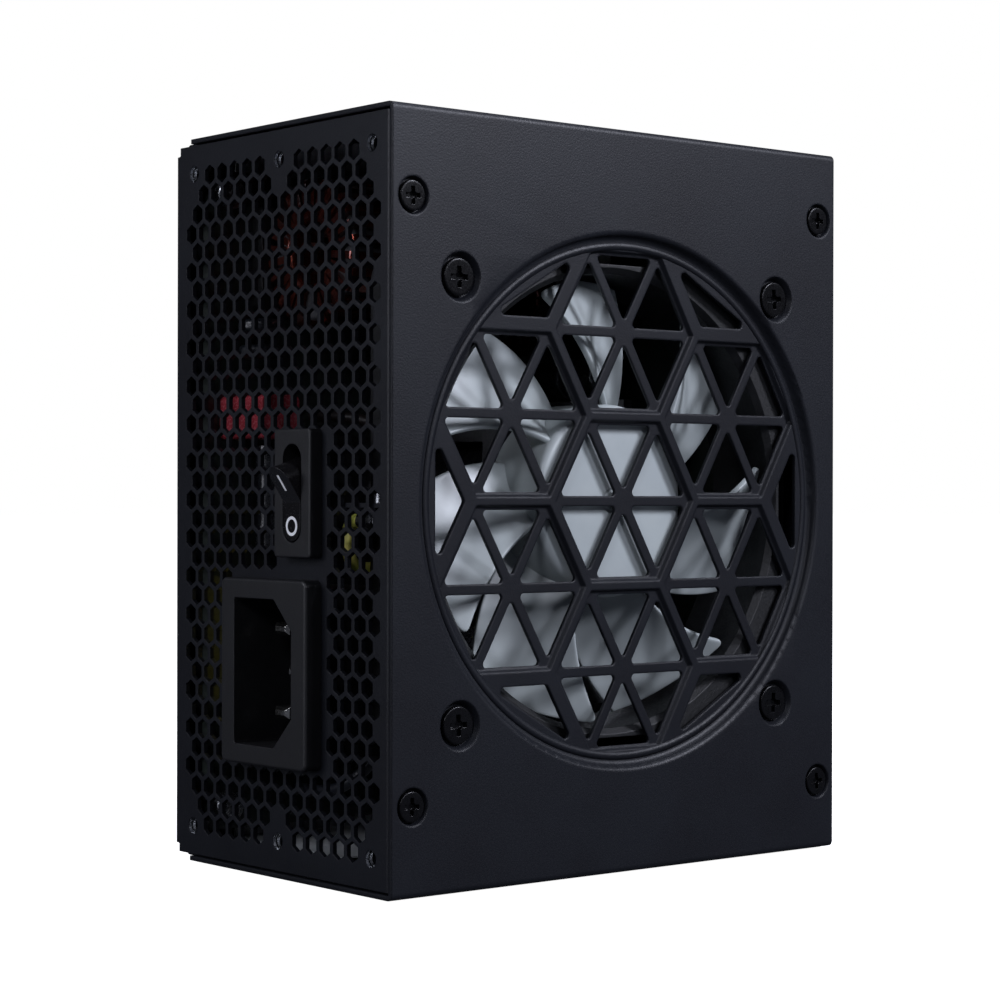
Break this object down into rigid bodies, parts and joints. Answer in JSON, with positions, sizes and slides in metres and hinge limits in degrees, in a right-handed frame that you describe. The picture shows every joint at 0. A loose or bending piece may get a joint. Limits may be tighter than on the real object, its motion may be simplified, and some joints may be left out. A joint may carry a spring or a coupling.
{
  "type": "power supply unit",
  "caption": "Small form factor computer power supply: a folded steel case with a hexagon-cell fan grille, honeycomb mains plate, mains inlet, rocker switch, fan and modular output sockets.",
  "frame": {"origin": "middle of the narrow side that the unit stands on", "axes": "+Z along the 125 mm width, away from the resting side; +X out of the fan panel; -Y out of the mains plate, +Y out of the output plate"},
  "size_m": [0.0636, 0.1059, 0.125],
  "materials": {
    "case_coat": "fine textured powder coat",
    "black_screw": "black oxide",
    "rubber_pad": "matt",
    "fan_plastic": "moulded satin",
    "blade_plastic": "moulded satin",
    "steel": "bright",
    "magnet": "matt",
    "brass": "bright",
    "lamination": "stacked sheet",
    "copper": "enamelled copper",
    "board": "solder mask",
    "wire_black": "pvc sleeve",
    "white_plastic": "moulded",
    "black_plastic": "fine moulded texture",
    "nickel": "nickel plate",
    "rocker_plastic": "satin with white marks",
    "film": "milky film",
    "can_sleeve": "shrink sleeve",
    "can_metal": "drawn can",
    "ferrite": "sintered",
    "tape": "polyester tape",
    "red_film": "dipped epoxy",
    "yellow_box": "moulded box",
    "blue_disc": "dipped epoxy",
    "ceramic": "glazed ceramic",
    "aluminium": "extruded",
    "wire_brown": "pvc sleeve",
    "wire_blue": "pvc sleeve",
    "wire_earth": "green and yellow pvc sleeve"
  },
  "bodies": {
    "case": {"cover": "case_coat", "chassis": "case_coat", "cover_screws": "black_screw", "fan_screws": "black_screw", "fan_pads": "rubber_pad", "fan_frame": "fan_plastic", "fan_bearing": "brass", "fan_stator": "lamination", "fan_coils": "copper", "fan_circuit_board": "board", "fan_lead": "wire_black", "fan_plug": "white_plastic", "fan_header": "white_plastic", "inlet_housing": "black_plastic", "inlet_pins": "nickel", "switch_housing": "black_plastic", "switch_terminals": "brass", "standoffs": "brass", "main_board": "board", "board_screws": "steel", "insulation_sheet": "film", "bulk_capacitor": "can_sleeve", "polymer_capacitors": "can_metal", "ring_choke_core": "ferrite", "ring_choke_winding": "copper", "ring_choke_base": "black_plastic", "filter_choke_core": "ferrite", "filter_choke_windings": "copper", "transformer_core": "ferrite", "transformer_winding": "tape", "standby_transformer": "tape", "output_choke_core": "ferrite", "output_choke_winding": "copper", "red_film_capacitor": "red_film", "mains_film_capacitor": "yellow_box", "disc_capacitors": "blue_disc", "fuse_tube": "ceramic", "fuse_caps": "nickel", "heatsink_primary": "aluminium", "heatsink_secondary": "aluminium", "transistors": "black_plastic", "bridge_rectifier": "black_plastic", "control_board": "board", "control_chips": "black_plastic", "output_board": "board", "output_sockets": "black_plastic", "socket_contacts": "nickel", "live_wire": "wire_brown", "switched_wire": "wire_brown", "neutral_wire": "wire_blue", "earth_wire": "wire_earth", "earth_ring_terminal": "nickel", "earth_screw": "steel"},
    "fan": {"fan_rotor": "blade_plastic", "fan_shaft": "steel", "fan_magnet_ring": "magnet"},
    "rocker": {"switch_rocker": "rocker_plastic", "rocker_plunger": "black_plastic"},
    "contact": {"switch_contact_blade": "brass"}
  },
  "joints": [
    {"name": "fan_spin", "type": "hinge", "parent": "case", "child": "fan", "pos_m": [0.0205, -0.0006, 0.0625], "axis": [1, 0, 0], "continuous": true},
    {"name": "rocker_tilt", "type": "hinge", "parent": "case", "child": "rocker", "pos_m": [0.0073, -0.048, 0.0637], "axis": [-1, 0, 0], "range_deg": [0, 34]},
    {"name": "contact_tilt", "type": "hinge", "parent": "case", "child": "contact", "pos_m": [0.0073, -0.041, 0.0637], "axis": [1, 0, 0], "range_deg": [0, 16]}
  ],
  "couplings": [
    {"joint": "contact_tilt", "follows": "rocker_tilt", "ratio": 0.47059}
  ]
}
